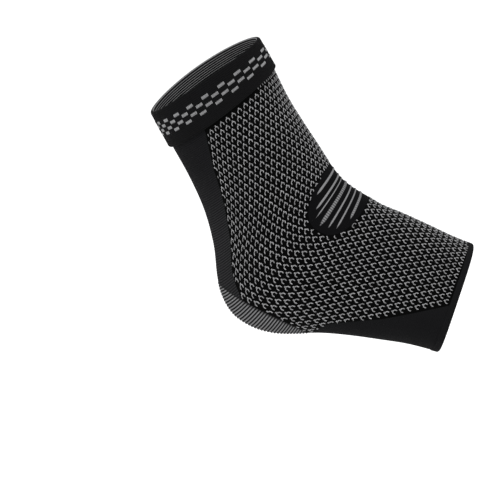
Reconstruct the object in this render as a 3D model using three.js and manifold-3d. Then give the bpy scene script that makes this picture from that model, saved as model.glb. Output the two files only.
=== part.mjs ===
// Knitted ankle brace: a pull-on compression sleeve with an open toe and a closed heel, in the form
// that it has on a foot. Millimetres, +Z up, +X toward the toes, the origin at the centre of the ankle.
// The sleeve is one curved tube of fabric. Its skin is worked out from a short table of sections, and
// each knitted zone is a wall laid on that skin.

import * as THREE from 'three';
import { mergeVertices } from 'three/addons/utils/BufferGeometryUtils.js';
import Module from 'manifold-3d';

const wasm = await Module();
wasm.setup();

// Driving dimensions: the form
const legRise = 107; // centre of the ankle up to the middle of the cuff's rim
const footReach = 118; // centre of the ankle forward to the middle of the toe opening
const calfDepth = 86; // front to back at the rim, along the rim
const calfWidth = 74; // side to side at the rim

// Driving dimensions: the fabric
const fabricWall = 2; // stretch knit of the main tube and of the plain zones
const seamGap = 0.3; // between one zone and the next
const cuffHeight = 25; // doubled cuff, measured along the leg
const cuffWall = 3; // two layers of fabric
const cuffStep = 1.2; // how far the cuff stands out past the leg
const cuffFlare = 1; // how much further its lower edge stands out than its rim
const hemHeight = 5; // rolled hem at the toe opening
const hemWall = 2.6;
const hemStep = 0.4; // how far the hem stands out past the foot
const rimCurve = 2.1; // how far the sides of the cuff's rim stand up past its front and back
const rimCurveRun = 16; // length of the cuff over which that curve fades out
const toeCurve = 1.9; // how far the sides of the toe edge curve back toward the ankle
const toeCurveRun = 48; // length of the foot over which that curve builds up
const heelPuff = 0.7; // how far the padded heel cup bellies out at its middle
const ribWidth = 1.7; // of a common flex rib
const ribRise = 0.6; // how far the flex ribs stand out from their panel

// Sections from the rim to the toe edge, each a flat oval that leans by slope degrees.
// ahead is a share of footReach, above of legRise, depth of calfDepth and width of calfWidth.
// belly moves the widest place toward the heel and the sole, and a full of 2 is an ellipse.
const sections = {
  rim: { ahead: -0.427, above: 1.003, depth: 1.0, width: 1.0, slope: 34.6, belly: 0.06, full: 2 },
  cuffEnd: { ahead: -0.315, above: 0.777, depth: 0.99, width: 0.97, slope: 37.6, belly: 0.06, full: 2 },
  shin: { ahead: -0.231, above: 0.598, depth: 0.99, width: 0.93, slope: 40, belly: 0.06, full: 2 },
  lowShin: { ahead: -0.149, above: 0.419, depth: 1.038, width: 0.89, slope: 42.4, belly: 0.04, full: 2 },
  aboveAnkle: { ahead: -0.084, above: 0.243, depth: 1.138, width: 0.88, slope: 44.9, belly: 0.02, full: 2 },
  ankle: { ahead: -0.029, above: 0.044, depth: 1.297, width: 0.9, slope: 47.8, belly: 0, full: 2 },
  bend: { ahead: 0.037, above: -0.08, depth: 1.36, width: 0.9, slope: 51.4, belly: 0.02, full: 2 },
  heelBack: { ahead: 0.119, above: -0.149, depth: 1.349, width: 0.88, slope: 55.6, belly: 0.04, full: 2.05 },
  heelBase: { ahead: 0.202, above: -0.186, depth: 1.298, width: 0.87, slope: 59.4, belly: 0.06, full: 2.1 },
  heelFront: { ahead: 0.292, above: -0.208, depth: 1.22, width: 0.87, slope: 62.2, belly: 0.08, full: 2.15 },
  arch: { ahead: 0.403, above: -0.233, depth: 1.118, width: 0.89, slope: 64.4, belly: 0.09, full: 2.15 },
  midArch: { ahead: 0.545, above: -0.269, depth: 1.047, width: 0.92, slope: 65.4, belly: 0.1, full: 2.15 },
  instep: { ahead: 0.707, above: -0.32, depth: 0.974, width: 0.95, slope: 66, belly: 0.1, full: 2.15 },
  ball: { ahead: 0.852, above: -0.368, depth: 0.909, width: 0.96, slope: 67.9, belly: 0.1, full: 2.15 },
  toeEdge: { ahead: 1.001, above: -0.422, depth: 0.879, width: 0.97, slope: 71.7, belly: 0.1, full: 2.1 },
};

// Zones on the skin. A place is a share of the sleeve's length from the rim to the toe edge, and an
// angle round it in degrees, 0 at the shin and the instep and 180 at the heel and the sole.
const heel = { middle: 0.565, halfShare: 0.119, halfAngle: 45 };
const flex = { middle: 0.546, halfShare: 0.106, halfAngle: 64.5, squareness: 3 };
const soleStart = { at: 0.676, full: 0.714 };

// Half the angle that the back panel spans, from the cuff down to where it ends beside the heel cup
const backSpans = [
  { at: 0.1, halfAngle: 70 },
  { at: 0.2, halfAngle: 58 },
  { at: 0.33, halfAngle: 48.5 },
  { at: 0.44, halfAngle: 42.5 },
  { at: 0.49, halfAngle: 41 },
  { at: 0.52, halfAngle: 36 },
];

// Half the angle that the sole panel spans, from the arch to the toe hem
const soleSpans = [
  { at: 0.676, halfAngle: 41 },
  { at: 0.714, halfAngle: 44 },
  { at: 0.82, halfAngle: 60 },
  { at: 0.94, halfAngle: 84 },
  { at: 1, halfAngle: 95 },
];

// Raised ribs across the flex panel: at is a share of the panel's length, and width of ribWidth
const flexRibs = [
  { at: 0.16, width: 1 },
  { at: 0.3, width: 1 },
  { at: 0.39, width: 0.7 },
  { at: 0.5, width: 1.5 },
  { at: 0.62, width: 0.9 },
  { at: 0.74, width: 0.9 },
  { at: 0.87, width: 1.2 },
];
const ribReach = 0.93; // share of the panel's half span that a rib covers
const ribFoot = 1.6; // width of a rib's foot against its width

// Facets
const ringColumns = 40;
const tubeRows = 24;

const degree = Math.PI / 180;
const shin = 0;
const sole = Math.PI;

// The sections as real sizes, with the share of the sleeve's length at which each lies
const columns = ['x', 'z', 'depth', 'width', 'slope', 'belly', 'full'];
const knots = Object.values(sections).map((row) => ({
  x: row.ahead * footReach,
  z: row.above * legRise,
  depth: row.depth * calfDepth,
  width: row.width * calfWidth,
  slope: row.slope * degree,
  belly: row.belly,
  full: row.full,
  at: 0,
}));
for (let i = 1; i < knots.length; i++) {
  knots[i].at = knots[i - 1].at + Math.hypot(knots[i].x - knots[i - 1].x, knots[i].z - knots[i - 1].z);
}
const sleeveLength = knots[knots.length - 1].at;
for (const knot of knots) knot.at /= sleeveLength;

// Rate of change of one column at a knot, from the knots on both sides of it
function rate(column, i) {
  const before = knots[Math.max(i - 1, 0)];
  const after = knots[Math.min(i + 1, knots.length - 1)];
  return (after[column] - before[column]) / (after.at - before.at);
}

// The section at any share of the sleeve's length, on a smooth curve through the table's rows
function sectionAt(at) {
  let i = 0;
  while (i < knots.length - 2 && knots[i + 1].at <= at) i++;
  const span = knots[i + 1].at - knots[i].at;
  const s = (at - knots[i].at) / span;
  const section = {};
  for (const column of columns) {
    section[column] =
      (2 * s ** 3 - 3 * s ** 2 + 1) * knots[i][column] +
      (s ** 3 - 2 * s ** 2 + s) * span * rate(column, i) +
      (3 * s ** 2 - 2 * s ** 3) * knots[i + 1][column] +
      (s ** 3 - s ** 2) * span * rate(column, i + 1);
  }
  return section;
}

// A point of the skin
function skin(at, angle) {
  const section = sectionAt(at);
  const power = 2 / section.full;
  const forward = Math.sign(Math.cos(angle)) * Math.abs(Math.cos(angle)) ** power;
  const across = Math.sign(Math.sin(angle)) * Math.abs(Math.sin(angle)) ** power;
  const reach = (section.depth / 2) * forward;
  const atRim = Math.max(0, 1 - (at * sleeveLength) / rimCurveRun);
  const atToes = Math.max(0, 1 - ((1 - at) * sleeveLength) / toeCurveRun);
  const back = (rimCurve * atRim ** 2 + toeCurve * atToes ** 2) * Math.sin(angle) ** 2;
  return new THREE.Vector3(
    section.x + reach * Math.cos(section.slope) - back * Math.sin(section.slope),
    (section.width / 2) * across * (1 - section.belly * forward),
    section.z + reach * Math.sin(section.slope) + back * Math.cos(section.slope),
  );
}

const nudge = 1e-4; // small step for slopes on the skin

function alongSleeve(at, angle) {
  return skin(at + nudge, angle).sub(skin(at - nudge, angle)).divideScalar(2 * nudge);
}

function roundSleeve(at, angle) {
  return skin(at, angle + nudge).sub(skin(at, angle - nudge)).divideScalar(2 * nudge);
}

// A point at a height over the skin, along its normal
function overSkin(at, angle, height) {
  const normal = alongSleeve(at, angle).cross(roundSleeve(at, angle)).normalize();
  return skin(at, angle).addScaledVector(normal, height);
}

// A closed geometry from corner points and faces, turned so that its faces point out
function closedGeometry(points, faces) {
  const geometry = new THREE.BufferGeometry();
  const flat = points.flatMap((point) => [point.x, point.y, point.z]);
  geometry.setAttribute('position', new THREE.Float32BufferAttribute(flat, 3));
  geometry.setIndex(faces.flat());
  const merged = mergeVertices(geometry, 1e-3);
  const position = merged.getAttribute('position');
  const index = merged.getIndex().array;
  const corner = (i) => new THREE.Vector3().fromBufferAttribute(position, i);
  const kept = [];
  let volume = 0;
  for (let i = 0; i < index.length; i += 3) {
    const [a, b, c] = index.slice(i, i + 3);
    if (a === b || b === c || c === a) continue;
    kept.push([a, b, c]);
    volume += corner(a).dot(corner(b).cross(corner(c)));
  }
  merged.setIndex(kept.flatMap(([a, b, c]) => (volume > 0 ? [a, b, c] : [a, c, b])));
  return merged;
}

// A ring round the sleeve: a closed loop of places along it and heights over the skin, swept round
function ring(loop) {
  const points = [];
  const faces = [];
  for (let j = 0; j < ringColumns; j++) {
    const angle = (2 * Math.PI * j) / ringColumns;
    for (const { at, height } of loop) points.push(overSkin(at, angle, height));
  }
  const size = loop.length;
  for (let j = 0; j < ringColumns; j++) {
    for (let i = 0; i < size; i++) {
      const a = j * size + i;
      const b = j * size + ((i + 1) % size);
      const c = ((j + 1) % ringColumns) * size + ((i + 1) % size);
      const d = ((j + 1) % ringColumns) * size + i;
      faces.push([a, b, c], [a, c, d]);
    }
  }
  return closedGeometry(points, faces);
}

// A patch of fabric: rows of places along the sleeve, each with half the angle that it spans
function patch(rows, middleAngle, columnCount, top, bottom) {
  const across = columnCount + 1;
  const points = [];
  const faces = [];
  for (const layer of [top, bottom]) {
    for (const { at, half } of rows) {
      for (let j = 0; j < across; j++) {
        const side = (2 * j) / columnCount - 1;
        points.push(overSkin(at, middleAngle + half * side, layer(at, side)));
      }
    }
  }
  const under = rows.length * across;
  const wallFace = (a, b, c, d) => faces.push([a, b, c], [a, c, d]);
  for (let i = 0; i < rows.length - 1; i++) {
    for (let j = 0; j < columnCount; j++) {
      const a = i * across + j;
      wallFace(a, a + 1, a + across + 1, a + across);
      wallFace(under + a + across, under + a + across + 1, under + a + 1, under + a);
    }
    const left = i * across;
    const right = left + columnCount;
    wallFace(left, left + across, under + left + across, under + left);
    wallFace(under + right, under + right + across, right + across, right);
  }
  const last = (rows.length - 1) * across;
  for (let j = 0; j < columnCount; j++) {
    wallFace(j + 1, j, under + j, under + j + 1);
    wallFace(last + j, last + j + 1, under + last + j + 1, under + last + j);
  }
  return closedGeometry(points, faces);
}

// The same rows with their outline moved out over the skin by a distance
function grown(rows, middleAngle, distance) {
  return rows.map(({ at, half }, i) => {
    const before = rows[Math.max(i - 1, 0)];
    const after = rows[Math.min(i + 1, rows.length - 1)];
    const lengthwise = alongSleeve(at, middleAngle - half).length();
    const sideways = roundSleeve(at, middleAngle - half).length();
    const run = (after.at - before.at) * lengthwise;
    const spread = (after.half - before.half) * sideways;
    const size = Math.hypot(run, spread);
    return {
      at: at - (distance * spread) / size / lengthwise,
      half: half + (distance * run) / size / sideways,
    };
  });
}

// Half span in radians at a place, on straight lines through a table of spans
function spanAt(spans, at) {
  let i = 0;
  while (i < spans.length - 2 && spans[i + 1].at < at) i++;
  const share = (at - spans[i].at) / (spans[i + 1].at - spans[i].at);
  return degree * (spans[i].halfAngle + share * (spans[i + 1].halfAngle - spans[i].halfAngle));
}

// Evenly spaced values from first to last
function steps(first, last, count) {
  return Array.from({ length: count + 1 }, (_, i) => first + ((last - first) * i) / count);
}

// Rows of an oval zone, rounder or squarer by its squareness
function ovalRows(zone, count) {
  const power = 2 / (zone.squareness ?? 2);
  return steps(0, Math.PI, count).map((turn) => ({
    at: zone.middle - zone.halfShare * Math.sign(Math.cos(turn)) * Math.abs(Math.cos(turn)) ** power,
    half: degree * zone.halfAngle * Math.sin(turn) ** power,
  }));
}

const cuffEnd = cuffHeight / sleeveLength;
const hemStart = 1 - hemHeight / sleeveLength;
const gapShare = seamGap / sleeveLength;

const heelRows = ovalRows(heel, 14);
const flexOutline = ovalRows(flex, 18);
const backRows = steps(cuffEnd + gapShare, backSpans[backSpans.length - 1].at, 9).map((at) => ({
  at,
  half: spanAt(backSpans, at),
}));
const soleNose = steps(0, Math.PI / 2, 4).map((turn) => {
  const at = soleStart.full - (soleStart.full - soleStart.at) * Math.cos(turn);
  return { at, half: spanAt(soleSpans, at) * Math.sin(turn) };
});
const soleRun = steps(soleStart.full, hemStart - gapShare, 8).slice(1);
const soleRows = [...soleNose, ...soleRun.map((at) => ({ at, half: spanAt(soleSpans, at) }))];

// The flex panel's rows: those of its outline and those that each rib needs
function flexRows() {
  const power = flex.squareness;
  const first = flex.middle - flex.halfShare;
  const places = ovalRows(flex, 12).map((row) => row.at);
  for (const rib of flexRibs) {
    const middle = first + rib.at * 2 * flex.halfShare;
    const halfRib = (rib.width * ribWidth) / 2 / sleeveLength;
    for (const side of [-ribFoot, 0, ribFoot]) places.push(middle + side * halfRib);
  }
  places.sort((a, b) => a - b);
  const apart = places.filter((at, i) => i === 0 || at - places[i - 1] > 0.25 * gapShare);
  const rows = apart.map((at) => {
    const share = Math.min(Math.abs(at - flex.middle) / flex.halfShare, 1);
    return { at, half: degree * flex.halfAngle * (1 - share ** power) ** (1 / power) };
  });
  return grown(rows, shin, trim);
}

// Height of the flex panel's face: flat, with a rounded rise at each rib that fades out at its ends
function flexFace(at, side) {
  const first = flex.middle - flex.halfShare;
  let height = 0;
  for (const rib of flexRibs) {
    const middle = first + rib.at * 2 * flex.halfShare;
    const away = Math.abs(at - middle) / ((ribFoot * rib.width * ribWidth) / 2 / sleeveLength);
    if (away < 1 && Math.abs(side) < ribReach) height = Math.max(height, ribRise * (1 - away ** 2));
  }
  return height;
}

const inside = () => -fabricWall;
const outside = () => 0;

function heelFace(at, side) {
  const share = (at - heel.middle) / heel.halfShare;
  return heelPuff * Math.max(0, 1 - share ** 2) * (1 - side ** 2);
}

// Boolean solids
const cutAbove = 6; // how far a cutter reaches over the skin
const cutBelow = -8;
const trim = 1; // what is trimmed off round a zone's patch

function solidOf(geometry) {
  return new wasm.Manifold(
    new wasm.Mesh({
      numProp: 3,
      vertProperties: new Float32Array(geometry.getAttribute('position').array),
      triVerts: new Uint32Array(geometry.getIndex().array),
    }),
  );
}

function geometryOf(solid) {
  const mesh = solid.getMesh();
  const geometry = new THREE.BufferGeometry();
  geometry.setAttribute('position', new THREE.Float32BufferAttribute(mesh.vertProperties, 3));
  geometry.setIndex(Array.from(mesh.triVerts));
  return geometry;
}

// A zone's outline as a block that reaches through the fabric, moved out over the skin by a gap
function block(rows, middleAngle, columnCount, gap) {
  const outline = grown(rows, middleAngle, gap);
  return solidOf(patch(outline, middleAngle, columnCount, () => cutAbove, () => cutBelow));
}

// A zone's fabric: a patch that is a little too large, trimmed to the zone's outline
function zone(rows, middleAngle, columnCount, top, bottom) {
  const fabric = solidOf(patch(grown(rows, middleAngle, trim), middleAngle, columnCount, top, bottom));
  return fabric.intersect(block(rows, middleAngle, columnCount, 0));
}

// The same rows run on past the first and the last, so that a cutter clears an open end
function runPast(rows, before, after) {
  const last = rows[rows.length - 1];
  const lead = before > 0 ? [{ ...rows[0], at: rows[0].at - before }] : [];
  const tail = after > 0 ? [{ ...last, at: last.at + after }] : [];
  return [...lead, ...rows, ...tail];
}

const heelRoom = block(heelRows, sole, 10, seamGap);
const flexRoom = block(flexOutline, shin, 12, seamGap);
const backRoom = block(runPast(backRows, 4 * gapShare, 0), sole, 12, seamGap);
const soleRoom = block(runPast(soleRows, 0, 4 * gapShare), sole, 14, seamGap);

// Doubled cuff: two layers with a rolled rim, standing out from the leg
function cuffBand() {
  const outer = cuffStep;
  const inner = cuffStep - cuffWall;
  const roll = cuffWall / 2 / sleeveLength;
  const middle = (outer + inner) / 2;
  const rim = steps(Math.PI, 0, 4).map((turn) => ({
    at: roll * (1 - Math.sin(turn)),
    height: middle + (cuffWall / 2) * Math.cos(turn),
  }));
  const down = steps(roll, cuffEnd, 5).slice(1);
  const outerRun = down.slice(0, -1).map((at) => ({ at, height: outer + (cuffFlare * at) / cuffEnd }));
  const innerRun = down.map((at) => ({ at, height: inner })).reverse();
  const edge = [
    { at: cuffEnd - roll, height: outer + cuffFlare },
    { at: cuffEnd - 0.3 * roll, height: outer + 0.7 * cuffFlare },
    { at: cuffEnd, height: outer - 0.4 * cuffWall },
  ];
  return ring([...rim, ...outerRun, ...edge, ...innerRun]);
}

// Rolled hem at the toe opening
function toeHem() {
  const outer = hemStep;
  const inner = hemStep - hemWall;
  const roll = hemWall / 2 / sleeveLength;
  const middle = (outer + inner) / 2;
  const lip = steps(0, Math.PI, 4).map((turn) => ({
    at: 1 - roll * (1 - Math.sin(turn)),
    height: middle + (hemWall / 2) * Math.cos(turn),
  }));
  return ring([{ at: hemStart, height: inner }, { at: hemStart, height: outer }, ...lip]);
}

// Main tube from the cuff to the hem, opened where the other zones lie
function mainKnit() {
  const run = steps(cuffEnd + gapShare, hemStart - gapShare, tubeRows);
  const outer = run.map((at) => ({ at, height: 0 }));
  const inner = run.map((at) => ({ at, height: -fabricWall })).reverse();
  const tube = solidOf(ring([...outer, ...inner]));
  return geometryOf(tube.subtract(heelRoom).subtract(flexRoom).subtract(backRoom).subtract(soleRoom));
}

function backPanel() {
  return geometryOf(zone(backRows, sole, 12, outside, inside).subtract(heelRoom));
}

function heelCup() {
  return geometryOf(zone(heelRows, sole, 10, heelFace, inside));
}

function solePanel() {
  return geometryOf(zone(soleRows, sole, 14, outside, inside).subtract(heelRoom));
}

// Flex panel over the bend of the ankle, with its raised ribs
function flexPanel() {
  const fabric = solidOf(patch(flexRows(), shin, 12, flexFace, inside));
  return geometryOf(fabric.intersect(block(flexOutline, shin, 12, 0)));
}

const black = { color: 0x1d1d1f, roughness: 0.9, metalness: 0 };
const charcoal = { color: 0x3a3a3c, roughness: 0.9, metalness: 0 };
const grey = { color: 0x77777a, roughness: 0.9, metalness: 0 };

const group = new THREE.Group();

function add(name, geometry, finish) {
  const mesh = new THREE.Mesh(geometry, new THREE.MeshStandardMaterial(finish));
  mesh.name = name;
  group.add(mesh);
}

add('cuff_band', cuffBand(), black);
add('main_knit_tube', mainKnit(), charcoal);
add('back_panel', backPanel(), black);
add('heel_cup', heelCup(), grey);
add('sole_panel', solePanel(), black);
add('flex_panel', flexPanel(), black);
add('toe_hem', toeHem(), black);

export default group;
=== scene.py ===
# Knitted ankle brace: a pull-on compression sleeve with an open toe and a closed heel, in the form that
# it has on a foot. The frame is in metres, +Z up, +X toward the toes, origin at the centre of the ankle.
# The sleeve comes off one machine from the cuff down, zone by zone, and the sections follow it.
# Sizes are in millimetres. A place on the sleeve is (at, angle): at is the share of its length from the
# rim to the toe edge, and angle runs round it from 0 at the shin to pi at the heel.

import math

import bpy
import numpy as np
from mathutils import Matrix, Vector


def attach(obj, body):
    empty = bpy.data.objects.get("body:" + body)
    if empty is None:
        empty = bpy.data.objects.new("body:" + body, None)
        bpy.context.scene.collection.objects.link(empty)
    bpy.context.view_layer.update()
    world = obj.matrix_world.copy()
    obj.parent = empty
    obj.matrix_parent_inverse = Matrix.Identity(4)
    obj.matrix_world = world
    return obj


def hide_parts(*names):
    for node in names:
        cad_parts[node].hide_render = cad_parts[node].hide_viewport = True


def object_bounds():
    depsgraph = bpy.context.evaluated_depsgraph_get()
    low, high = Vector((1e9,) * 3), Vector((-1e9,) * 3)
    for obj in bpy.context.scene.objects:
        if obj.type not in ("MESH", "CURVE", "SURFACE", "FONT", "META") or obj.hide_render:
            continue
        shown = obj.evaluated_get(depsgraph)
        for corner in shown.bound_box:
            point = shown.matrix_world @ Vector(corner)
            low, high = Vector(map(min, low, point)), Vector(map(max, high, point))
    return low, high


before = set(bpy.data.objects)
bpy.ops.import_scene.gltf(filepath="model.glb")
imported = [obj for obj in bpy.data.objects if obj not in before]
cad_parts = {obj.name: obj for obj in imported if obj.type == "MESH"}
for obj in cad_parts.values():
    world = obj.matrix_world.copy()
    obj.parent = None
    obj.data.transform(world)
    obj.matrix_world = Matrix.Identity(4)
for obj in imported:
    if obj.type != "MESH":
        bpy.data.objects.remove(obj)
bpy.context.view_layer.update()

# Doubled cuff
# The top band is knitted twice as long and folded in, so it is two layers thick with a rolled rim.
# It is nylon and elastane. Four rows of grey dashes are knitted in outside, and grey lines inside.
MM = 0.001
LEG_RISE = 107.0
FOOT_REACH = 118.0
CALF_DEPTH = 86.0
CALF_WIDTH = 74.0
RIM_CURVE = 2.1
RIM_CURVE_RUN = 16.0
TOE_CURVE = 1.9
TOE_CURVE_RUN = 48.0

# The sleeve's sections from the rim to the toe edge, the same as the solids have
SECTIONS = (
    # ahead, above, depth, width, slope, belly, full
    (-0.427, 1.003, 1.0, 1.0, 34.6, 0.06, 2.0),
    (-0.315, 0.777, 0.99, 0.97, 37.6, 0.06, 2.0),
    (-0.231, 0.598, 0.99, 0.93, 40.0, 0.06, 2.0),
    (-0.149, 0.419, 1.038, 0.89, 42.4, 0.04, 2.0),
    (-0.084, 0.243, 1.138, 0.88, 44.9, 0.02, 2.0),
    (-0.029, 0.044, 1.297, 0.9, 47.8, 0.0, 2.0),
    (0.037, -0.08, 1.36, 0.9, 51.4, 0.02, 2.0),
    (0.119, -0.149, 1.349, 0.88, 55.6, 0.04, 2.05),
    (0.202, -0.186, 1.298, 0.87, 59.4, 0.06, 2.1),
    (0.292, -0.208, 1.22, 0.87, 62.2, 0.08, 2.15),
    (0.403, -0.233, 1.118, 0.89, 64.4, 0.09, 2.15),
    (0.545, -0.269, 1.047, 0.92, 65.4, 0.1, 2.15),
    (0.707, -0.32, 0.974, 0.95, 66.0, 0.1, 2.15),
    (0.852, -0.368, 0.909, 0.96, 67.9, 0.1, 2.15),
    (1.001, -0.422, 0.879, 0.97, 71.7, 0.1, 2.1),
)
section_units = np.array([FOOT_REACH, LEG_RISE, CALF_DEPTH, CALF_WIDTH, math.pi / 180, 1.0, 1.0])
knots = np.array(SECTIONS) * section_units
knot_steps = np.hypot(np.diff(knots[:, 0]), np.diff(knots[:, 1]))
LENGTH = knot_steps.sum()
knot_at = np.concatenate([[0.0], np.cumsum(knot_steps)]) / LENGTH


def smooth(row_at, rows, at):
    """The columns of a table at any place, on smooth curves through its rows."""
    before = np.maximum(np.arange(len(rows)) - 1, 0)
    after = np.minimum(np.arange(len(rows)) + 1, len(rows) - 1)
    rates = (rows[after] - rows[before]) / (row_at[after] - row_at[before])[:, None]
    i = np.clip(np.searchsorted(row_at, at, side="right") - 1, 0, len(rows) - 2)
    span = row_at[i + 1] - row_at[i]
    s = (at - row_at[i]) / span
    values = (
        (2 * s**3 - 3 * s**2 + 1)[..., None] * rows[i]
        + ((s**3 - 2 * s**2 + s) * span)[..., None] * rates[i]
        + (3 * s**2 - 2 * s**3)[..., None] * rows[i + 1]
        + ((s**3 - s**2) * span)[..., None] * rates[i + 1]
    )
    return np.moveaxis(values, -1, 0)


def skin(at, angle):
    """Points of the sleeve's outer skin, in millimetres."""
    at, angle = np.broadcast_arrays(np.asarray(at, float), np.asarray(angle, float))
    x, z, depth, width, slope, belly, full = smooth(knot_at, knots, at)
    forward = np.sign(np.cos(angle)) * np.abs(np.cos(angle)) ** (2 / full)
    across = np.sign(np.sin(angle)) * np.abs(np.sin(angle)) ** (2 / full)
    reach = depth / 2 * forward
    at_rim = np.maximum(0, 1 - at * LENGTH / RIM_CURVE_RUN)
    at_toes = np.maximum(0, 1 - (1 - at) * LENGTH / TOE_CURVE_RUN)
    back = (RIM_CURVE * at_rim**2 + TOE_CURVE * at_toes**2) * np.sin(angle) ** 2
    return np.stack(
        [
            x + reach * np.cos(slope) - back * np.sin(slope),
            width / 2 * across * (1 - belly * forward),
            z + reach * np.sin(slope) + back * np.cos(slope),
        ],
        axis=-1,
    )


def over_skin(at, angle, height):
    """Points at a height over the skin, along its normal."""
    small = 1e-4
    along = skin(at + small, angle) - skin(at - small, angle)
    around = skin(at, angle + small) - skin(at, angle - small)
    normal = np.cross(along, around)
    normal /= np.linalg.norm(normal, axis=-1, keepdims=True)
    return skin(at, angle) + normal * np.asarray(height)[..., None]


# Wales are the columns of stitches and courses their rows, counted from the shin and from the rim
WALES_ROUND = 200
COURSES = 230
FRONT_STRETCH = 0.254
ARC_ROWS = 400
ARC_COLUMNS = 361
ARC_MARGIN = 0.02
arc_at = np.linspace(-ARC_MARGIN, 1 + ARC_MARGIN, ARC_ROWS)
arc_angle = np.linspace(0, math.pi, ARC_COLUMNS)
arc_points = skin(arc_at[:, None], arc_angle[None, :])
arc_steps = np.linalg.norm(np.diff(arc_points, axis=1), axis=2)
arc_length = np.concatenate([np.zeros((ARC_ROWS, 1)), np.cumsum(arc_steps, axis=1)], axis=1)
arc_share = arc_length / arc_length[:, -1:]
even_share = np.linspace(0, 1, ARC_COLUMNS)
share_angle = np.array([np.interp(even_share, row, arc_angle) for row in arc_share])


def table_value(table, at, column):
    """Values of an arc table between its rows and columns."""
    row = np.clip((at - arc_at[0]) / (arc_at[-1] - arc_at[0]) * (ARC_ROWS - 1), 0, ARC_ROWS - 1.001)
    column = np.clip(column * (ARC_COLUMNS - 1), 0, ARC_COLUMNS - 1.001)
    i, j = row.astype(int), column.astype(int)
    a, b = row - i, column - j
    upper = table[i, j] * (1 - b) + table[i, j + 1] * b
    lower = table[i + 1, j] * (1 - b) + table[i + 1, j + 1] * b
    return upper * (1 - a) + lower * a


def wale_of(at, angle):
    """The wale at a place, negative on the side of -Y. The knit is stretched most over the shin."""
    share = table_value(arc_share, at, np.abs(angle) / math.pi)
    return np.sign(angle) * (share * (1 - FRONT_STRETCH) + share**2 * FRONT_STRETCH) * WALES_ROUND / 2


def cuff_place(wale, course):
    """The place of a stitch of the cuff, for wales on either side of the shin."""
    at = course / COURSES
    half_round = WALES_ROUND / 2
    folded = np.mod(wale + half_round, WALES_ROUND) - half_round
    whole = np.abs(folded) / half_round
    even = 1 - FRONT_STRETCH
    share = (np.sqrt(even**2 + 4 * FRONT_STRETCH * whole) - even) / (2 * FRONT_STRETCH)
    return at, np.sign(folded) * table_value(share_angle, at, share)


def net(rows, columns, around=False):
    """Faces of a grid of places, closed round the sleeve if around is set."""
    last = columns if around else columns - 1
    i, j = np.meshgrid(np.arange(rows - 1), np.arange(last), indexing="ij")
    k = (j + 1) % columns
    faces = [i * columns + j, (i + 1) * columns + j, (i + 1) * columns + k, i * columns + k]
    return np.stack(faces, axis=-1).reshape(-1, 4)


def fabric(name, corners, faces, material, knit, sharp=50, **values):
    """A mesh object from points in millimetres. knit holds the wale and the course of each point."""
    a, b, c, d = (corners[faces[:, i]] for i in range(4))
    volume = np.einsum("ij,ij->", a, np.cross(b, c) + np.cross(c, d))
    if volume < 0:
        faces = faces[:, ::-1]
    mesh = bpy.data.meshes.new(name)
    mesh.from_pydata((corners * MM).tolist(), [], [list(dict.fromkeys(face)) for face in faces.tolist()])
    loops = np.empty(len(mesh.loops), dtype=np.int32)
    starts = np.empty(len(mesh.polygons), dtype=np.int32)
    totals = np.empty(len(mesh.polygons), dtype=np.int32)
    mesh.loops.foreach_get("vertex_index", loops)
    mesh.polygons.foreach_get("loop_start", starts)
    mesh.polygons.foreach_get("loop_total", totals)
    wale, course = knit[0][loops], knit[1][loops]
    spread = np.maximum.reduceat(wale, starts) - np.minimum.reduceat(wale, starts)
    over_back = np.repeat(spread > WALES_ROUND / 2, totals) & (wale < 0)
    wale = np.where(over_back, wale + WALES_ROUND, wale)
    mesh.uv_layers.new(name="knit").data.foreach_set("uv", np.stack([wale, course], axis=-1).ravel())
    for key, value in values.items():
        attribute = mesh.attributes.new(key, "FLOAT", "POINT")
        attribute.data.foreach_set("value", np.asarray(value, dtype=np.float32))
    mesh.polygons.foreach_set("use_smooth", np.ones(len(mesh.polygons), dtype=bool))
    mesh.set_sharp_from_angle(angle=math.radians(sharp))
    mesh.materials.append(material)
    piece = bpy.data.objects.new(name, mesh)
    bpy.context.scene.collection.objects.link(piece)
    return piece


def hoop(name, loop, columns, material):
    """A band round the sleeve. Each place of its closed loop is an at, a height and a grey share."""
    at, height, grey = np.array(loop).T
    angle = np.linspace(-math.pi, math.pi, columns, endpoint=False)
    at, angle = (v.ravel() for v in np.meshgrid(at, angle))
    corners = over_skin(at, angle, np.tile(height, columns))
    faces = net(columns + 1, len(loop), around=True) % len(corners)
    values = {"grey": np.tile(grey, columns), "hatch": np.zeros(len(corners))}
    return fabric(name, corners, faces, material, (wale_of(at, angle), at * COURSES), **values)


def linear(code):
    """A hex sRGB colour as linear RGBA."""
    channels = [int(code[i : i + 2], 16) / 255 for i in (1, 3, 5)]
    return [c / 12.92 if c <= 0.04045 else ((c + 0.055) / 1.055) ** 2.4 for c in channels] + [1.0]


def add(tree, kind, links=(), **settings):
    """Adds a node with its settings. links pairs an input with an output to join or a value to set."""
    node = tree.nodes.new("ShaderNode" + kind)
    for key, value in settings.items():
        setattr(node, key, value)
    for key, value in links:
        if isinstance(value, bpy.types.NodeSocket):
            tree.links.new(value, node.inputs[key])
        else:
            node.inputs[key].default_value = value
    return node


# The first and second colour sockets of a Mix node
MIX_A, MIX_B = 6, 7
# How many courses the two legs of a stitch rise from its middle to its edge, for a whole wale
STITCH_SLANT = 1.1
# Cells of noise to a metre: single fibres of about half a millimetre, and patches of about 17 mm
FIBRE_SCALE = 1800.0
PATCH_SCALE = 60.0
BUMP_DEPTH = 0.0004


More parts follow.
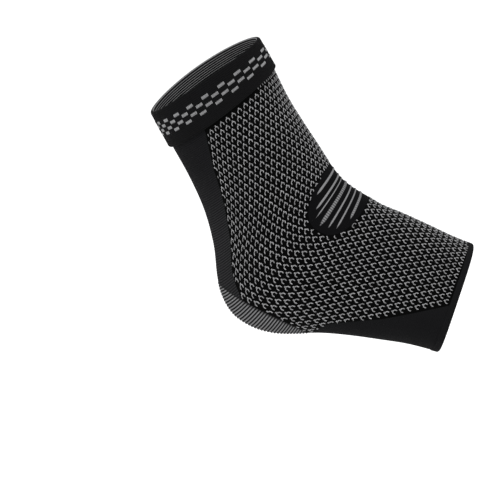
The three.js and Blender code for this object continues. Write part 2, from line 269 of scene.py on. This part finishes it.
def stretch_knit(name, ground, gap_shade, yarn, relief=0.35):
    """Stretch knit of textured nylon: matt yarn in V-shaped stitches, with a faint bloom of loose fibre at
    the edges.
    The gaps between the stitches take a darker colour, painted shade for the shadow there. The grey share
    brings in the second yarn."""
    material = bpy.data.materials.new(name)
    material.use_nodes = True
    tree = material.node_tree
    tree.nodes.clear()
    uv = add(tree, "UVMap", uv_map="knit")
    place = add(tree, "SeparateXYZ", [(0, uv.outputs[0])])
    within = add(tree, "Math", [(0, place.outputs[0])], operation="FRACT")
    middle = add(tree, "Math", [(0, within.outputs[0]), (1, 0.5)], operation="SUBTRACT")
    side = add(tree, "Math", [(0, middle.outputs[0])], operation="ABSOLUTE")
    slant = [(0, side.outputs[0]), (1, STITCH_SLANT), (2, place.outputs[1])]
    lean = add(tree, "Math", slant, operation="MULTIPLY_ADD")
    turn = add(tree, "Math", [(0, lean.outputs[0]), (1, math.pi)], operation="MULTIPLY")
    wave = add(tree, "Math", [(0, turn.outputs[0])], operation="SINE")
    bulge = add(tree, "Math", [(0, wave.outputs[0])], operation="ABSOLUTE")
    strand_turn = add(tree, "Math", [(0, side.outputs[0]), (1, 2 * math.pi)], operation="MULTIPLY")
    strand = add(tree, "Math", [(0, strand_turn.outputs[0])], operation="SINE")
    crown = add(tree, "Math", [(0, strand.outputs[0]), (1, 0.5)], operation="POWER")
    stitch = add(tree, "Math", [(0, bulge.outputs[0]), (1, crown.outputs[0])], operation="MULTIPLY")
    coords = add(tree, "TexCoord")
    spot = coords.outputs["Object"]
    fuzz = add(tree, "TexNoise", [("Vector", spot), ("Scale", FIBRE_SCALE), ("Detail", 3.0)])
    patchy = add(tree, "TexNoise", [("Vector", spot), ("Scale", PATCH_SCALE), ("Detail", 2.0)])
    # Painted shade: where the stitch legs are low, between them, the colour turns to the darker gap colour
    gap_shading = [("Factor", stitch.outputs[0]), (MIX_A, linear(gap_shade)), (MIX_B, linear(ground))]
    base = add(tree, "Mix", gap_shading, data_type="RGBA")
    grey = add(tree, "Attribute", attribute_name="grey")
    hatch = add(tree, "Attribute", attribute_name="hatch")
    band_turn = add(tree, "Math", [(0, place.outputs[0]), (1, 2 * math.pi)], operation="MULTIPLY")
    band = add(tree, "Math", [(0, band_turn.outputs[0])], operation="COSINE")
    dip = add(tree, "Math", [(0, band.outputs[0]), (1, -0.5), (2, 0.5)], operation="MULTIPLY_ADD")
    cut = add(tree, "Math", [(0, dip.outputs[0]), (1, hatch.outputs["Fac"])], operation="MULTIPLY")
    keep = add(tree, "Math", [(0, 1.0), (1, cut.outputs[0])], operation="SUBTRACT")
    shown = [(0, grey.outputs["Fac"]), (1, keep.outputs[0])]
    share = add(tree, "Math", shown, operation="MULTIPLY", use_clamp=True)
    yarns = [("Factor", share.outputs[0]), (MIX_A, base.outputs[2]), (MIX_B, linear(yarn))]
    two = add(tree, "Mix", yarns, data_type="RGBA")
    worn = add(tree, "MapRange", [("Value", patchy.outputs["Fac"]), ("To Min", 0.88), ("To Max", 1.12)])
    dyes = [("Factor", 1.0), (MIX_A, two.outputs[2]), (MIX_B, worn.outputs[0])]
    tint = add(tree, "Mix", dyes, data_type="RGBA", blend_type="MULTIPLY")
    heights = [(0, fuzz.outputs["Fac"]), (1, 0.3), (2, stitch.outputs[0])]
    height = add(tree, "Math", heights, operation="MULTIPLY_ADD")
    bump = add(tree, "Bump", [("Strength", relief), ("Distance", BUMP_DEPTH), ("Height", height.outputs[0])])
    shader = add(
        tree,
        "BsdfPrincipled",
        [
            ("Base Color", tint.outputs[2]),
            ("Normal", bump.outputs[0]),
            ("Roughness", 0.9),
            ("Specular IOR Level", 0.02),
            ("Sheen Weight", 0.005),
            ("Sheen Roughness", 0.6),
        ],
    )
    add(tree, "OutputMaterial", [("Surface", shader.outputs[0])])
    return material


BLACK_YARN = "#131314"
# The painted shade colour for the gaps between the cuff's stitches
BLACK_GAP_SHADE = "#030303"
GREY_YARN = "#7b7b7c"
cuff_knit = stretch_knit("black_nylon_cuff_knit", BLACK_YARN, BLACK_GAP_SHADE, GREY_YARN, relief=0.6)

CUFF_HEIGHT = 25.0
CUFF_WALL = 3.0
CUFF_STEP = 1.2
CUFF_FLARE = 1.0
CUFF_COLUMNS = 200
cuff_end = CUFF_HEIGHT / LENGTH
cuff_middle = CUFF_STEP - CUFF_WALL / 2
cuff_roll = CUFF_WALL / 2

# Inside, thin grey courses stand out at this pitch from the rim on, and one more runs along the rim
LINE_PITCH = 1.2
LINE_COUNT = 10
LINE_RISE = 0.5
LINE_STEP = 0.15
CREST_TURN = 2.2
CREST_HALF_TURN = 0.4

# The lower edge is round over this length, and the outside is laid out in steps from it to the rim
CUFF_EDGE = 1.6
CUFF_ROW_STEP = 1.1
EDGE_CLEAR = 0.6
cuff_loop = []
for turn in np.linspace(0, math.pi, 25):
    reach = cuff_roll * (1 - math.sin(turn)) / LENGTH
    crest = max(0.0, 1 - abs(turn - CREST_TURN) / CREST_HALF_TURN)
    cuff_loop.append((reach, cuff_middle + cuff_roll * math.cos(turn), crest))
for down in np.arange(cuff_roll + 0.1, CUFF_HEIGHT - CUFF_EDGE, LINE_STEP):
    phase = down % LINE_PITCH / LINE_PITCH
    ridge = max(0.0, math.cos(2 * math.pi * (phase - 0.5))) if down < LINE_PITCH * LINE_COUNT else 0.0
    cuff_loop.append((down / LENGTH, CUFF_STEP - CUFF_WALL - LINE_RISE * ridge, ridge**2))
for turn in np.linspace(math.pi, 0, 17):
    reach = CUFF_EDGE * (1 - math.sin(turn)) / LENGTH
    drop = (CUFF_WALL + CUFF_FLARE) / 2 * math.cos(turn)
    cuff_loop.append((cuff_end - reach, cuff_middle + CUFF_FLARE / 2 + drop, 0.0))
for up in np.arange(CUFF_HEIGHT - CUFF_EDGE - EDGE_CLEAR, cuff_roll, -CUFF_ROW_STEP):
    cuff_loop.append((up / LENGTH, CUFF_STEP + CUFF_FLARE * up / CUFF_HEIGHT, 0.0))
cuff = hoop("cuff_band_knit", cuff_loop, CUFF_COLUMNS, cuff_knit)
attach(cuff, "root")
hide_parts("cuff_band")


# One leg of a stitch, as a small lobe of yarn: its sections along it, then its tips
LOBE_SECTIONS = ((-0.78, 0.72), (-0.25, 1.0), (0.3, 1.0), (0.8, 0.7))
LOBE_ROUND = ((-1.0, 0.0), (-0.5, 1.0), (0.5, 1.0), (1.0, 0.0))
YARN_SINK = 0.2


def lobes(name, place, wale, course, lean, length, width, lift, tone, material, over=0.0):
    """Lobes of yarn that lie on the knit at a wale and a course, turned by lean from the wale.
    place gives the place on the sleeve of any wale and course."""
    count = len(wale)
    template = []
    for along, full in LOBE_SECTIONS:
        for across, rise in LOBE_ROUND:
            template.append((along, across * full, rise * full))
    template += [(-1.0, 0.0, 0.0), (1.0, 0.0, 0.0)]
    along, across, rise = np.array(template).T
    wale, course, lean, length, width, lift, tone = (
        np.broadcast_to(v, count)[:, None] for v in (wale, course, lean, length, width, lift, tone)
    )
    run = along * length / 2
    off = across * width / 2
    courses = course + run * np.cos(lean) - off * np.sin(lean)
    wales = wale + run * np.sin(lean) + off * np.cos(lean)
    heights = np.broadcast_to(over, count)[:, None] - YARN_SINK + rise * (lift + YARN_SINK)
    corners = over_skin(*place(wales.ravel(), courses.ravel()), heights.ravel())
    sections, size = len(LOBE_SECTIONS), len(LOBE_ROUND)
    faces = net(sections, size, around=True).tolist()
    first, last = sections * size, sections * size + 1
    for j in range(size):
        k = (j + 1) % size
        faces.append([first, j, k, k])
        faces.append([last, (sections - 1) * size + k, (sections - 1) * size + j, (sections - 1) * size + j])
    step = len(template)
    every = (np.array(faces)[None] + (np.arange(count) * step)[:, None, None]).reshape(-1, 4)
    knit = (wales.ravel(), courses.ravel())
    return fabric(name, corners, every, material, knit, sharp=180, tone=np.repeat(tone.ravel(), step))


def raised_yarn(name, code):
    """Heavier grey yarn that floats over the ground knit: matt, with fine fibre and uneven dye."""
    material = bpy.data.materials.new(name)
    material.use_nodes = True
    tree = material.node_tree
    tree.nodes.clear()
    tone = add(tree, "Attribute", attribute_name="tone")
    coords = add(tree, "TexCoord")
    fibre = add(tree, "TexNoise", [("Vector", coords.outputs["Object"]), ("Scale", 2500.0), ("Detail", 3.0)])
    light = add(tree, "MapRange", [("Value", fibre.outputs["Fac"]), ("To Min", 0.85), ("To Max", 1.15)])
    shade = add(tree, "Math", [(0, light.outputs[0]), (1, tone.outputs["Fac"])], operation="MULTIPLY")
    dyes = [("Factor", 1.0), (MIX_A, linear(code)), (MIX_B, shade.outputs[0])]
    tint = add(tree, "Mix", dyes, data_type="RGBA", blend_type="MULTIPLY")
    bump = add(tree, "Bump", [("Strength", 0.3), ("Distance", 0.0002), ("Height", fibre.outputs["Fac"])])
    shader = add(
        tree,
        "BsdfPrincipled",
        [
            ("Base Color", tint.outputs[2]),
            ("Normal", bump.outputs[0]),
            ("Roughness", 0.85),
            ("Specular IOR Level", 0.1),
            ("Sheen Weight", 0.02),
        ],
    )
    add(tree, "OutputMaterial", [("Surface", shader.outputs[0])])
    return material


grey_cuff_yarn = raised_yarn("grey_nylon_cuff_yarn", "#7a7a7b")

# Four rows of dashes: distance from the rim, and the share of a repeat by which the row is moved
DASHES_ROUND = 20
DASH_START = 0.575
DASH_LOBES = 8
DASH_LOBE_WALES = 0.5
dash_rows = ((7.4, 0.0), (9.95, 0.5), (12.5, 0.0), (15.0, 0.5))
repeat = WALES_ROUND / DASHES_ROUND
rng = np.random.default_rng(7)
dash_wale = []
dash_course = []
for below, shift in dash_rows:
    for k in range(DASHES_ROUND):
        centre = -(k + DASH_START + shift) * repeat
        for i in range(DASH_LOBES):
            dash_wale.append(centre + (i - (DASH_LOBES - 1) / 2) * DASH_LOBE_WALES)
            dash_course.append(below / LENGTH * COURSES)
dashes = lobes(
    "cuff_grey_dashes",
    cuff_place,
    np.array(dash_wale),
    np.array(dash_course),
    lean=0.0,
    length=2.1,
    width=0.52,
    lift=0.25,
    tone=rng.uniform(0.92, 1.05, len(dash_wale)),
    material=grey_cuff_yarn,
    over=CUFF_STEP + CUFF_FLARE * np.array(dash_course) / COURSES / cuff_end,
)
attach(dashes, "root")

# Patterned tube of the leg and the foot
# The main knit, two yarns in one fabric: a black ground and a heavier grey yarn that comes to the face
# as small horseshoes, one every four wales and four courses, each row moved half a repeat.
FABRIC_WALL = 2.0
SEAM = 0.03
HEM_HEIGHT = 5.0
hem_start = 1 - HEM_HEIGHT / LENGTH
HEEL_MIDDLE, HEEL_HALF_SHARE, HEEL_HALF_ANGLE = 0.565, 0.119, 45.0
FLEX_MIDDLE, FLEX_HALF_SHARE, FLEX_HALF_ANGLE, FLEX_POWER = 0.546, 0.106, 64.5, 3.0
BACK_SPANS = ((0.1, 70), (0.2, 58), (0.33, 48.5), (0.44, 42.5), (0.49, 41), (0.52, 36))
SOLE_SPANS = ((0.676, 41), (0.714, 44), (0.82, 60), (0.94, 84), (1.0, 95))
SOLE_START, SOLE_FULL = 0.676, 0.714


def oval_half(at, middle, half_share, half_angle, power=2.0):
    share = np.clip(np.abs(at - middle) / half_share, 0, 1)
    return np.radians(half_angle) * (1 - share**power) ** (1 / power)


def heel_half(at):
    return oval_half(at, HEEL_MIDDLE, HEEL_HALF_SHARE, HEEL_HALF_ANGLE)


def flex_half(at):
    return oval_half(at, FLEX_MIDDLE, FLEX_HALF_SHARE, FLEX_HALF_ANGLE, FLEX_POWER)


def back_half(at):
    half = np.radians(np.interp(at, *zip(*BACK_SPANS)))
    return np.where(at <= BACK_SPANS[-1][0], half, 0.0)


def sole_half(at):
    nose = np.clip((SOLE_FULL - at) / (SOLE_FULL - SOLE_START), 0, 1)
    half = np.radians(np.interp(at, *zip(*SOLE_SPANS))) * np.sqrt(1 - nose**2)
    return np.where(at >= SOLE_START, half, 0.0)


def plain_half(at):
    """Half the angle round the heel and the sole that isn't patterned."""
    return np.maximum(np.maximum(back_half(at), heel_half(at)), sole_half(at))


def wings(at, inner, outer, columns, from_shin=False):
    """A net in two halves about the heel side or the shin, from the inner to the outer half span of each
    row. The halves are joined where the inner span is nothing."""
    share = np.linspace(0, 1, columns + 1)
    half = inner[:, None] + (outer - inner)[:, None] * share
    if from_shin:
        angle = np.concatenate([-half[:, ::-1], half], axis=1)
    else:
        angle = np.concatenate([half[:, ::-1] - math.pi, math.pi - half], axis=1)
    size = 2 * (columns + 1)
    faces = net(len(at), size)
    faces = faces[faces[:, 0] % size != columns]
    closed = np.flatnonzero(inner <= 0)
    alias = np.arange(len(at) * size)
    alias[closed * size + columns] = closed * size + columns + 1
    return np.repeat(at, size), angle.ravel(), alias[faces]


def wall(name, at, angle, faces, top, material, grey=0.0, hatch=0.0, inside_grey=0.08):
    """A closed wall of fabric over a net of places, up to the height top. grey is the share of the
    second yarn on its face, and inside_grey on its reverse."""
    count = len(at)
    top, grey, hatch = (np.broadcast_to(v, count) for v in (top, grey, hatch))
    corners = np.concatenate([over_skin(at, angle, top), over_skin(at, angle, np.full(count, -FABRIC_WALL))])
    edges = {}
    for face in faces.tolist():
        for a, b in zip(face, face[1:] + face[:1]):
            if a != b:
                edges[a, b] = True
    rims = [(b, a, a + count, b + count) for a, b in edges if (b, a) not in edges]
    every = np.concatenate([faces, faces[:, ::-1] + count, np.array(rims)])
    used, every = np.unique(every, return_inverse=True)
    every = every.reshape(-1, 4)
    knit = (np.tile(wale_of(at, angle), 2)[used], np.tile(at * COURSES, 2)[used])
    reverse = np.full(count, inside_grey)
    values = {"grey": np.concatenate([grey, reverse])[used], "hatch": np.tile(hatch, 2)[used]}
    return fabric(name, corners[used], every, material, knit, **values)


# The second colour is painted shade between the stitches
ground_knit = stretch_knit("black_nylon_ground_knit", "#040404", "#010101", GREY_YARN)
flex_ends = (FLEX_MIDDLE - FLEX_HALF_SHARE, FLEX_MIDDLE + FLEX_HALF_SHARE)
rows = np.linspace(cuff_end + SEAM / LENGTH, hem_start - SEAM / LENGTH, 150)
near_ends = FLEX_MIDDLE + FLEX_HALF_SHARE * np.cos(np.linspace(0, math.pi, 48))
rows = np.unique(np.concatenate([rows, near_ends, flex_ends]))
rows = rows[np.concatenate([[True], np.diff(rows) > 1e-5])]
seam_turn = SEAM / 40
inner = flex_half(rows)
inner = np.where(inner > 0.02, inner + seam_turn, 0.0)
outer = math.pi - plain_half(rows) - seam_turn
at, angle, faces = wings(rows, inner, outer, 44, from_shin=True)
tube = wall("patterned_tube_ground", at, angle, faces, 0.0, ground_knit, inside_grey=0.3)
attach(tube, "root")
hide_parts("main_knit_tube")

# How the worn knit lies. Over the front two thirds of either side the wales are nearly even, at a rate in
# wales to the whole side. Toward the heel side they crowd near the rim and spread near the toes, so that
# the whole side holds its own count. Each pair is for the rim and the toe edge. The middle of the side
# leads by some courses.
FRONT_WALES = (110.0, 92.0)
SIDE_WALES = (142.0, 70.0)
SIDE_LEAD = 2.4
PLACE_ROUNDS = 10
LEAST_RATE = 20.0


def knit_place(wale, course):
    """The place of a stitch of the patterned tube. Its share of the way round is found step by step."""
    at = course / COURSES
    share = np.abs(wale) / (WALES_ROUND / 2)
    for _ in range(PLACE_ROUNDS):
        front, whole = (np.interp(at, (0, 1), ends) for ends in (FRONT_WALES, SIDE_WALES))
        crowd = (whole - front) / (2 / 3 * 1 / 3)
        wales = front * share + crowd * share * (share - 1 / 3) * (share - 2 / 3)
        rate = np.maximum(front + crowd * (3 * share**2 - 2 * share + 2 / 9), LEAST_RATE)
        share = np.clip(share + (np.abs(wale) - wales) / rate, 0, 1)
        at = (course - 4 * SIDE_LEAD * share * (1 - share)) / COURSES
    return at, np.sign(wale) * table_value(share_angle, at, share)


# The figure is a horseshoe: a round cap toward the cuff, and an arm down the wale on either side
FIGURE_WALES = 4
FIGURE_COURSES = 4
MOST_WALES = 132
figure_strands = (
    # wale, course, lean in degrees, length in courses, for one side of the figure
    (0.14, -0.45, 10, 1.1),
    (0.55, 0.3, 56, 1.3),
    (1.04, 1.4, 0, 1.9),
)

first_row = int(cuff_end * COURSES / FIGURE_COURSES)
last_row = int(hem_start * COURSES / FIGURE_COURSES) + 1
figure_wale, figure_course = np.meshgrid(
    np.arange(-MOST_WALES, MOST_WALES + 1, FIGURE_WALES, dtype=float),
    np.arange(first_row, last_row + 1) * float(FIGURE_COURSES),
)
figure_wale += np.where(np.round(figure_course / FIGURE_COURSES) % 2 == 1, FIGURE_WALES / 2, 0.0)
figure_wale, figure_course = figure_wale.ravel(), figure_course.ravel()
rng = np.random.default_rng(11)
yarn = {"wale": [], "course": [], "lean": [], "length": [], "tone": []}
for side in (-1, 1):
    for wale_step, course_step, lean, length in figure_strands:
        yarn["wale"].append(figure_wale + side * wale_step)
        yarn["course"].append(figure_course + course_step)
        yarn["lean"].append(np.full(len(figure_wale), side * math.radians(lean)))
        yarn["length"].append(np.full(len(figure_wale), length))
        yarn["tone"].append(rng.uniform(0.66, 1.22, len(figure_wale)))
yarn = {key: np.concatenate(value) for key, value in yarn.items()}
yarn_at, yarn_angle = knit_place(yarn["wale"], yarn["course"])
EDGE = math.radians(1.2)
inside = (yarn_at > cuff_end + 0.6 / LENGTH) & (yarn_at < hem_start - 0.4 / LENGTH)
inside &= np.abs(yarn_angle) < math.pi - plain_half(yarn_at) - EDGE
inside &= (np.abs(yarn_angle) > flex_half(yarn_at) + EDGE) | (flex_half(yarn_at) == 0)
grey_yarn = raised_yarn("grey_nylon_figure_yarn", GREY_YARN)
for name, chosen in (("leg", yarn_at < 0.5), ("foot", yarn_at >= 0.5)):
    chosen = chosen & inside
    part = {key: value[chosen] for key, value in yarn.items()}
    figures = lobes(name + "_figure_stitches", knit_place, width=0.66, lift=0.35, material=grey_yarn, **part)
    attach(figures, "root")

# Back panel
# Plain black knit up the back of the ankle, the same ground without the grey yarn. Its courses stand as fine
# low ridges across, because the fabric is stretched long there, and their tops carry a painted highlight in
# a lighter grey, which fades out toward the cuff.
# The second colour is painted shade between the stitches, and the third the painted highlight for the ridge
# tops
back_knit = stretch_knit("plain_black_back_knit", "#151516", "#08080a", "#2a2a2b", relief=0.6)
back_end = 0.504
BACK_LINE_PITCH = 1.4
BACK_LINE_RISE = 0.12
LINE_STEPS = 5
FADE_START = 0.16
FADE_RUN = 0.2
FAINTEST = 0.1
back_lines = int((back_end - cuff_end) * LENGTH / BACK_LINE_PITCH)
rows = np.linspace(cuff_end + SEAM / LENGTH, back_end, back_lines * LINE_STEPS + 1)
inner = heel_half(rows)
inner = np.where(inner > 0, inner + seam_turn, 0.0)
outer = np.maximum(back_half(rows), inner)
at, angle, faces = wings(rows, inner, outer, 16)
line = 0.5 - 0.5 * np.cos(2 * math.pi * (at - rows[0]) / (rows[-1] - rows[0]) * back_lines)
clear = np.clip((at - FADE_START) / FADE_RUN, FAINTEST, 1)
# Painted highlight: the lighter colour on the ridge tops, faint near the cuff
grey = line**2 * clear
back = wall("back_panel_knit", at, angle, faces, BACK_LINE_RISE * (line - 1), back_knit, grey=grey)
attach(back, "root")
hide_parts("back_panel")

# Heel cup
# The pouch round the heel, knitted by short rows in grey and black turn by turn, so that rounded grey
# ribs run round the heel with black between them.
HEEL_PUFF = 0.7
HEEL_RIBS = 37
HEEL_RIB_RISE = 0.7
HEEL_RIB_STEPS = 8
HEEL_EDGE = 0.06
# The second colour is painted shade between the stitches
heel_knit = stretch_knit("grey_ribbed_heel_knit", "#101011", "#060607", "#787879")
heel_share = np.linspace(-1, 1, HEEL_RIBS * HEEL_RIB_STEPS + 1)
rows = HEEL_MIDDLE + HEEL_HALF_SHARE * heel_share * 0.999
outer = heel_half(rows)
at, angle, faces = wings(rows, np.zeros(len(rows)), outer, 28)
share = (at - HEEL_MIDDLE) / HEEL_HALF_SHARE
side = (math.pi - np.abs(angle)) / np.maximum(heel_half(at), 1e-6)
swell = HEEL_PUFF * np.maximum(0, 1 - share**2) * (1 - side**2)
rib = 0.5 - 0.5 * np.cos(math.pi * (share + 1) * HEEL_RIBS)
edge = np.clip((1 - side) / HEEL_EDGE, 0, 1)
top = swell + (rib - 0.5) * HEEL_RIB_RISE * edge
grey = np.clip(rib * 1.7 - 0.6, 0, 1) * edge
heel = wall("heel_cup_knit", at, angle, faces, top, heel_knit, grey=grey, hatch=0.3)
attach(heel, "root")
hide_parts("heel_cup")

# Sole panel
# Plain black knit under the foot, which widens from a round nose beside the heel cup to the toe hem.
# The second colour is painted shade between the stitches
sole_knit = stretch_knit("plain_black_sole_knit", "#121213", "#0a0a0b", GREY_YARN)
sole_rows = SOLE_FULL - (SOLE_FULL - SOLE_START) * np.cos(np.linspace(0, math.pi / 2, 24))
rows = np.concatenate([sole_rows, np.linspace(SOLE_FULL, hem_start - SEAM / LENGTH, 60)[1:]])
inner = heel_half(rows)
inner = np.where(inner > 0, inner + seam_turn, 0.0)
outer = np.maximum(sole_half(rows), inner)
starts = np.flatnonzero(sole_half(rows) > inner)[0] - 1
rows, inner, outer = rows[starts:], inner[starts:], outer[starts:]
at, angle, faces = wings(rows, inner, outer, 24)
sole = wall("sole_panel_knit", at, angle, faces, 0.0, sole_knit)
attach(sole, "root")
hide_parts("sole_panel")

# Flex panel
# Black knit over the bend of the ankle, with seven raised grey ribs across it. Each rib ends in a
# point, and the widest shows its wales most.
FLEX_RIB_RISE = 0.5
RIB_TIP = math.radians(5)
RIB_FOOT = 1.25
flex_ribs = (
    # at, width in mm, reach in degrees, hatch
    (0.470, 1.6, 46, 0.15),
    (0.499, 1.6, 53, 0.15),
    (0.516, 0.85, 57, 0.1),
    (0.542, 2.5, 59.5, 0.75),
    (0.569, 1.3, 58.5, 0.15),
    (0.594, 1.25, 56, 0.15),
    (0.620, 1.9, 44, 0.5),
)
# The second colour is painted shade between the stitches
flex_knit = stretch_knit("black_flex_knit", "#0b0b0c", "#050506", "#707071")
rows = np.linspace(-0.999, 0.999, 260) * FLEX_HALF_SHARE + FLEX_MIDDLE
at, angle, faces = wings(rows, np.zeros(len(rows)), flex_half(rows), 36, from_shin=True)
top = np.zeros(len(at))
grey = np.zeros(len(at))
hatched = np.zeros(len(at))
for middle, width, reach, hatch in flex_ribs:
    ending = np.clip((math.radians(reach) - np.abs(angle)) / RIB_TIP, 0, 1) ** 0.5
    away = np.abs(at - middle) * LENGTH / (width / 2 * RIB_FOOT) / np.maximum(ending, 1e-3)
    round_top = np.sqrt(np.clip(1 - away**2, 0, 1)) * (ending > 0)
    top = np.maximum(top, FLEX_RIB_RISE * round_top * ending)
    grey = np.maximum(grey, np.clip(round_top * 2.2, 0, 1))
    hatched = np.where(round_top > 0, hatch, hatched)
flex = wall("flex_panel_knit", at, angle, faces, top, flex_knit, grey=grey, hatch=hatched)
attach(flex, "root")
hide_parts("flex_panel")

# Toe hem
# The last courses turn in on themselves and are linked down, which leaves a soft round black edge.
HEM_WALL = 2.6
HEM_STEP = 0.4
HEM_EDGE = 0.6
hem_middle = HEM_STEP - HEM_WALL / 2
hem_loop = [(hem_start, HEM_STEP - HEM_WALL, 0.0), (hem_start, HEM_STEP - HEM_EDGE, 0.0)]
for turn in np.linspace(0, math.pi / 2, 6)[1:]:
    reach = HEM_EDGE * (1 - math.cos(turn)) / LENGTH
    hem_loop.append((hem_start + reach, HEM_STEP - HEM_EDGE * (1 - math.sin(turn)), 0.0))
for along in np.linspace(hem_start + 1.0 / LENGTH, 1 - HEM_WALL / 2 / LENGTH, 6)[:-1]:
    hem_loop.append((along, HEM_STEP, 0.0))
for turn in np.linspace(0, math.pi, 15):
    reach = HEM_WALL / 2 * (1 - math.sin(turn)) / LENGTH
    hem_loop.append((1 - reach, hem_middle + HEM_WALL / 2 * math.cos(turn), 0.0))
# The second colour is painted shade between the stitches
hem_knit = stretch_knit("black_hem_knit", "#131314", "#0a0a0b", GREY_YARN, relief=0.5)
hem = hoop("toe_hem_knit", hem_loop, 200, hem_knit)
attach(hem, "root")
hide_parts("toe_hem")

# Studio
# A pale seamless floor, far enough below the sleeve that its shadow doesn't show, and soft near-white
# light from all round, with a broad lamp above on each side.
paper = bpy.data.materials.new("pale_paper_floor")
paper.use_nodes = True
paper_shader = paper.node_tree.nodes["Principled BSDF"]
paper_shader.inputs["Base Color"].default_value = linear("#fbfbfb")
paper_shader.inputs["Roughness"].default_value = 0.9
FLOOR_HALF = 30.0
FLOOR_DROP = 0.09
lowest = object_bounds()[0][2] - FLOOR_DROP
floor_sides = ((-1, -1), (1, -1), (1, 1), (-1, 1))
floor_corners = [(x * FLOOR_HALF, y * FLOOR_HALF, lowest) for x, y in floor_sides]
floor_mesh = bpy.data.meshes.new("floor")
floor_mesh.from_pydata(floor_corners, [], [(0, 1, 2, 3)])
floor_mesh.materials.append(paper)
floor = bpy.data.objects.new("floor", floor_mesh)
bpy.context.scene.collection.objects.link(floor)

world = bpy.data.worlds.new("studio")
bpy.context.scene.world = world
world.use_nodes = True
world.node_tree.nodes["Background"].inputs["Color"].default_value = (1.0, 1.0, 1.0, 1.0)
world.node_tree.nodes["Background"].inputs["Strength"].default_value = 1.1

LAMPS = (
    # name, azimuth and elevation in degrees, distance in m, size in m, watts
    ("key", -35, 50, 1.4, 0.9, 14.0),
    ("fill", 40, 35, 1.6, 1.1, 6.0),
)
for name, azimuth, elevation, distance, size, watts in LAMPS:
    light = bpy.data.lights.new(name, "AREA")
    light.size = size
    light.energy = watts
    lamp = bpy.data.objects.new(name, light)
    a, e = math.radians(azimuth), math.radians(elevation)
    lamp.location = (
        distance * math.sin(a) * math.cos(e),
        -distance * math.cos(a) * math.cos(e),
        distance * math.sin(e),
    )
    lamp.rotation_mode = "XYZ"
    lamp.rotation_euler = (math.pi / 2 - e, 0.0, a)
    bpy.context.scene.collection.objects.link(lamp)

# A long lens, level with the ankle and a little above it, square to the side of the sleeve
CAMERA_DISTANCE = 3.0
CAMERA_ELEVATION = math.radians(12.3)
FRAME_WIDTH = 0.3216
AIM = (-0.0268, 0.0, -0.0054)
SENSOR = 36.0
lens = bpy.data.cameras.new("camera")
lens.sensor_width = SENSOR
lens.lens = SENSOR * CAMERA_DISTANCE / FRAME_WIDTH
lens.clip_end = 100.0
camera = bpy.data.objects.new("camera", lens)
camera.location = (
    AIM[0],
    AIM[1] - CAMERA_DISTANCE * math.cos(CAMERA_ELEVATION),
    AIM[2] + CAMERA_DISTANCE * math.sin(CAMERA_ELEVATION),
)
camera.rotation_euler = (math.pi / 2 - CAMERA_ELEVATION, 0.0, 0.0)
bpy.context.scene.collection.objects.link(camera)
bpy.context.scene.camera = camera
bpy.context.scene.view_settings.view_transform = "Standard"
